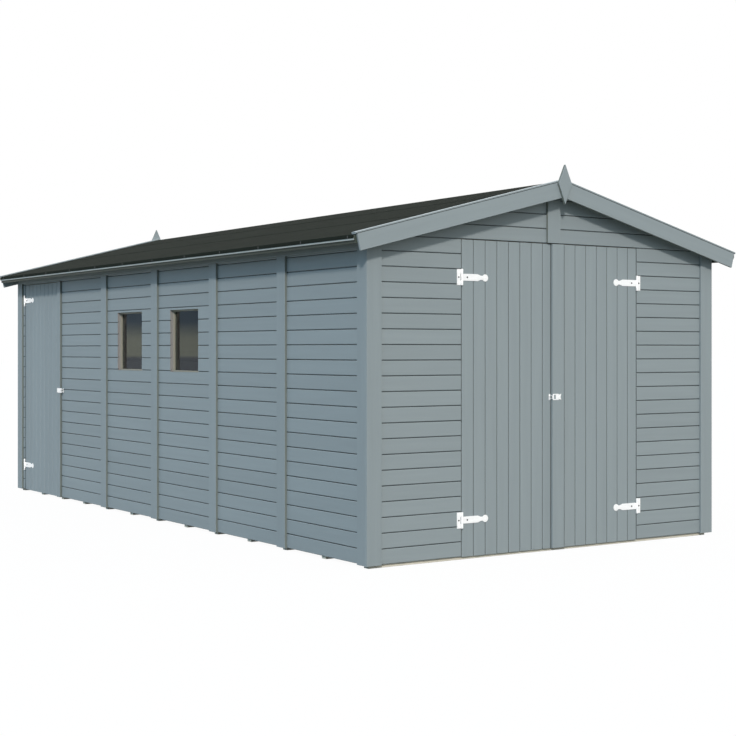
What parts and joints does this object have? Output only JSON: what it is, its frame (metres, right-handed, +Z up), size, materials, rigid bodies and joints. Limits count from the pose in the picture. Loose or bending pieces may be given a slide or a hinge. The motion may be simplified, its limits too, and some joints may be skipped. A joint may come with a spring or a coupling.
{
  "type": "tool shed",
  "caption": "Timber apex-roof tool shed with a double door in the gable and a single door and small windows in one side wall.",
  "frame": {"origin": "on the ground below the middle of the shed, on the middle bearer's underside", "axes": "+Z up, +Y from the double-door gable to the back, -X towards the wall with the windows and the single door"},
  "size_m": [3.03, 5.688, 2.335],
  "materials": {
    "paint": "grey-blue painted boards",
    "paint_trim": "grey-blue painted trim",
    "pale_batten": "pale painted batten",
    "bare_timber": "bare sawn softwood",
    "felt": "mineral roofing felt",
    "zinc": "bright zinc plate",
    "glazing": "clear glazing"
  },
  "bodies": {
    "shed": {"front_wall": "paint", "back_wall": "paint", "front_gable_panel": "paint", "back_gable_panel": "paint", "left_wall_panels": "paint", "left_window_panels": "paint", "right_wall_panels": "paint", "side_door_surround": "paint", "left_cover_strips": "paint_trim", "right_cover_strips": "paint_trim", "gable_cover_strips": "paint_trim", "front_corner_boards": "paint_trim", "back_corner_boards": "paint_trim", "side_corner_boards": "paint_trim", "eaves_boards": "paint_trim", "front_bargeboards": "paint_trim", "back_bargeboards": "paint_trim", "finials": "paint_trim", "eaves_battens": "pale_batten", "verge_caps": "pale_batten", "bearers": "bare_timber", "floor_deck": "bare_timber", "side_wall_studs": "bare_timber", "gable_wall_studs": "bare_timber", "side_wall_rails": "bare_timber", "gable_wall_rails": "bare_timber", "door_stops": "bare_timber", "roof_deck_left": "bare_timber", "roof_deck_right": "bare_timber", "roof_rafters": "bare_timber", "roof_collars": "bare_timber", "roof_purlins": "bare_timber", "window_linings": "bare_timber", "window_beads": "bare_timber", "roof_felt": "felt", "hinge_plates": "zinc", "hinge_pins": "zinc", "side_staple": "zinc", "window_glass": "glazing"},
    "left_leaf": {"left_leaf_boards": "paint", "left_leaf_braces": "bare_timber", "left_leaf_straps": "zinc", "front_staple": "zinc"},
    "right_leaf": {"right_leaf_boards": "paint", "right_leaf_braces": "bare_timber", "right_leaf_straps": "zinc", "meeting_strip": "paint_trim", "front_hasp_tail": "zinc"},
    "front_flap": {"front_hasp_flap": "zinc"},
    "side_leaf": {"side_door_boards": "paint", "side_door_braces": "bare_timber", "side_door_straps": "zinc", "side_door_strip": "paint_trim", "side_hasp_tail": "zinc"},
    "side_flap": {"side_hasp_flap": "zinc"}
  },
  "joints": [
    {"name": "left_leaf_hinge", "type": "hinge", "parent": "shed", "child": "left_leaf", "pos_m": [-0.6975, -2.7335, 0.954], "axis": [0, 0, -1], "range_deg": [0, 160]},
    {"name": "right_leaf_hinge", "type": "hinge", "parent": "shed", "child": "right_leaf", "pos_m": [0.6975, -2.7335, 0.954], "axis": [0, 0, 1], "range_deg": [0, 160]},
    {"name": "side_leaf_hinge", "type": "hinge", "parent": "shed", "child": "side_leaf", "pos_m": [-1.3595, 2.5955, 0.954], "axis": [0, 0, -1], "range_deg": [0, 150]},
    {"name": "front_flap_hinge", "type": "hinge", "parent": "right_leaf", "child": "front_flap", "pos_m": [0.036, -2.7455, 0.935], "axis": [0, 0, 1], "range_deg": [0, 165]},
    {"name": "side_flap_hinge", "type": "hinge", "parent": "side_leaf", "child": "side_flap", "pos_m": [-1.3715, 1.81, 0.889], "axis": [0, 0, -1], "range_deg": [0, 165]}
  ]
}
